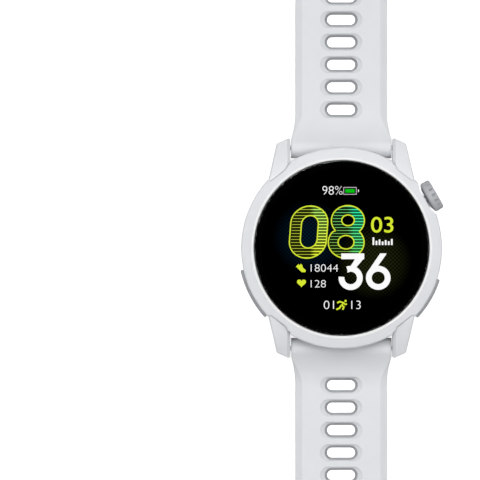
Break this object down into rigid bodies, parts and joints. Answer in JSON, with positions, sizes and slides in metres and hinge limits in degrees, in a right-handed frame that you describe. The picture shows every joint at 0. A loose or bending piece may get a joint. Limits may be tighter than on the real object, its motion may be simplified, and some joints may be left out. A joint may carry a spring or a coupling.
{
  "type": "gps running watch",
  "caption": "Round white sports watch with a crown, two arc buttons, a lit digital display, slotted silicone straps and a pin buckle.",
  "frame": {"origin": "centre of the sensor window's flat face, the lowest face of the case", "axes": "+Z from the back to the display, +Y towards 12 o'clock along the straps, +X towards 3 o'clock"},
  "size_m": [0.0439, 0.2535, 0.0118],
  "materials": {
    "white_polymer": "fine satin moulding",
    "cover_glass": "polished chemically strengthened glass",
    "sensor_glass": "dark tinted, polished",
    "display_black": "black active display with lit numerals",
    "flex_amber": "polyimide film",
    "seal_rubber": "moulded",
    "strap_silicone": "soft-touch silicone",
    "grey_metal": "satin, fine bead-blasted grey",
    "plain_steel": "turned",
    "magnet_nickel": "nickel plated",
    "black_plastic": "moulded",
    "board_green": "solder-masked laminate",
    "chip_black": "moulded epoxy",
    "led_clear": "clear lens over green emitter",
    "contact_gold": "gold plated",
    "battery_foil": "pouch foil",
    "piezo_brass": "bright"
  },
  "bodies": {
    "case": {"bezel_ring": "white_polymer", "cover_lens": "cover_glass", "lens_gasket": "seal_rubber", "display_panel": "display_black", "display_flex": "flex_amber", "mid_case": "white_polymer", "back_cover": "white_polymer", "case_gasket": "seal_rubber", "case_screws": "plain_steel", "sensor_window": "sensor_glass", "sensor_light_shield": "black_plastic", "sensor_board": "board_green", "sensor_leds": "led_clear", "sensor_photodiodes": "chip_black", "charging_port_body": "black_plastic", "charging_pins": "contact_gold", "main_board": "board_green", "board_shield_can": "plain_steel", "board_chips": "chip_black", "battery_cell": "battery_foil", "inner_chassis": "black_plastic", "gnss_antenna": "contact_gold", "haptic_motor_can": "plain_steel", "beeper_disc": "piezo_brass", "pressure_vent": "black_plastic", "crown_tube": "plain_steel", "crown_switch": "black_plastic", "crown_spring": "plain_steel", "right_button_switch": "black_plastic", "right_button_spring": "plain_steel", "left_button_switch": "black_plastic", "left_button_spring": "plain_steel"},
    "crown_carrier": {"crown_plunger": "black_plastic"},
    "crown": {"crown_knob": "grey_metal", "crown_shaft": "plain_steel", "crown_seals": "seal_rubber", "crown_clip": "plain_steel", "crown_magnet": "magnet_nickel"},
    "right_button": {"right_button_cap": "grey_metal", "right_button_stem": "plain_steel", "right_button_seal": "seal_rubber", "right_button_clip": "plain_steel"},
    "left_button": {"left_button_cap": "grey_metal", "left_button_stem": "plain_steel", "left_button_seal": "seal_rubber", "left_button_clip": "plain_steel"},
    "rotor": {"haptic_rotor": "plain_steel"},
    "upper_strap": {"upper_strap": "strap_silicone", "upper_bar_tube": "plain_steel", "upper_bar_spring": "plain_steel"},
    "upper_release": {"upper_release_pin": "plain_steel"},
    "lower_strap": {"lower_strap": "strap_silicone", "lower_bar_tube": "plain_steel", "lower_bar_spring": "plain_steel", "tail_stud": "grey_metal"},
    "lower_release": {"lower_release_pin": "plain_steel"},
    "buckle": {"buckle_frame": "grey_metal", "buckle_pin": "plain_steel"},
    "tongue": {"buckle_tongue": "grey_metal"}
  },
  "joints": [
    {"name": "crown_press", "type": "slide", "parent": "case", "child": "crown_carrier", "axis": [-0.866, -0.5, 0], "range_m": [0, 0.0003], "stiffness_N_per_m": 1500, "springref_m": -0.0006, "deforming": ["crown_spring"]},
    {"name": "crown_turn", "type": "hinge", "parent": "crown_carrier", "child": "crown", "pos_m": [0.01966, 0.01135, 0.0059], "axis": [0.866, 0.5, 0], "continuous": true},
    {"name": "right_button_press", "type": "slide", "parent": "case", "child": "right_button", "axis": [-0.8643, 0.503, 0], "range_m": [0, 0.0003], "stiffness_N_per_m": 1500, "springref_m": -0.0006, "deforming": ["right_button_spring"]},
    {"name": "left_button_press", "type": "slide", "parent": "case", "child": "left_button", "axis": [0.8882, 0.4594, 0], "range_m": [0, 0.0003], "stiffness_N_per_m": 1500, "springref_m": -0.0006, "deforming": ["left_button_spring"]},
    {"name": "haptic_spin", "type": "hinge", "parent": "case", "child": "rotor", "pos_m": [0.001, -0.0112, 0.0048], "axis": [1, 0, 0], "continuous": true},
    {"name": "upper_strap_hinge", "type": "hinge", "parent": "case", "child": "upper_strap", "pos_m": [0, 0.0217, 0.0034], "axis": [-1, 0, 0], "range_deg": [-30, 80]},
    {"name": "lower_strap_hinge", "type": "hinge", "parent": "case", "child": "lower_strap", "pos_m": [0, -0.0217, 0.0034], "axis": [1, 0, 0], "range_deg": [-30, 80]},
    {"name": "upper_release_slide", "type": "slide", "parent": "upper_strap", "child": "upper_release", "axis": [1, 0, 0], "range_m": [0, 0.0013], "stiffness_N_per_m": 400, "springref_m": -0.001, "deforming": ["upper_bar_spring"]},
    {"name": "lower_release_slide", "type": "slide", "parent": "lower_strap", "child": "lower_release", "axis": [1, 0, 0], "range_m": [0, 0.0013], "stiffness_N_per_m": 400, "springref_m": -0.001, "deforming": ["lower_bar_spring"]},
    {"name": "buckle_hinge", "type": "hinge", "parent": "upper_strap", "child": "buckle", "pos_m": [0, 0.09739, 0.0013], "axis": [1, 0, 0], "range_deg": [-80, 30]},
    {"name": "tongue_hinge", "type": "hinge", "parent": "buckle", "child": "tongue", "pos_m": [0, 0.09739, 0.0013], "axis": [1, 0, 0], "range_deg": [0, 55]}
  ]
}
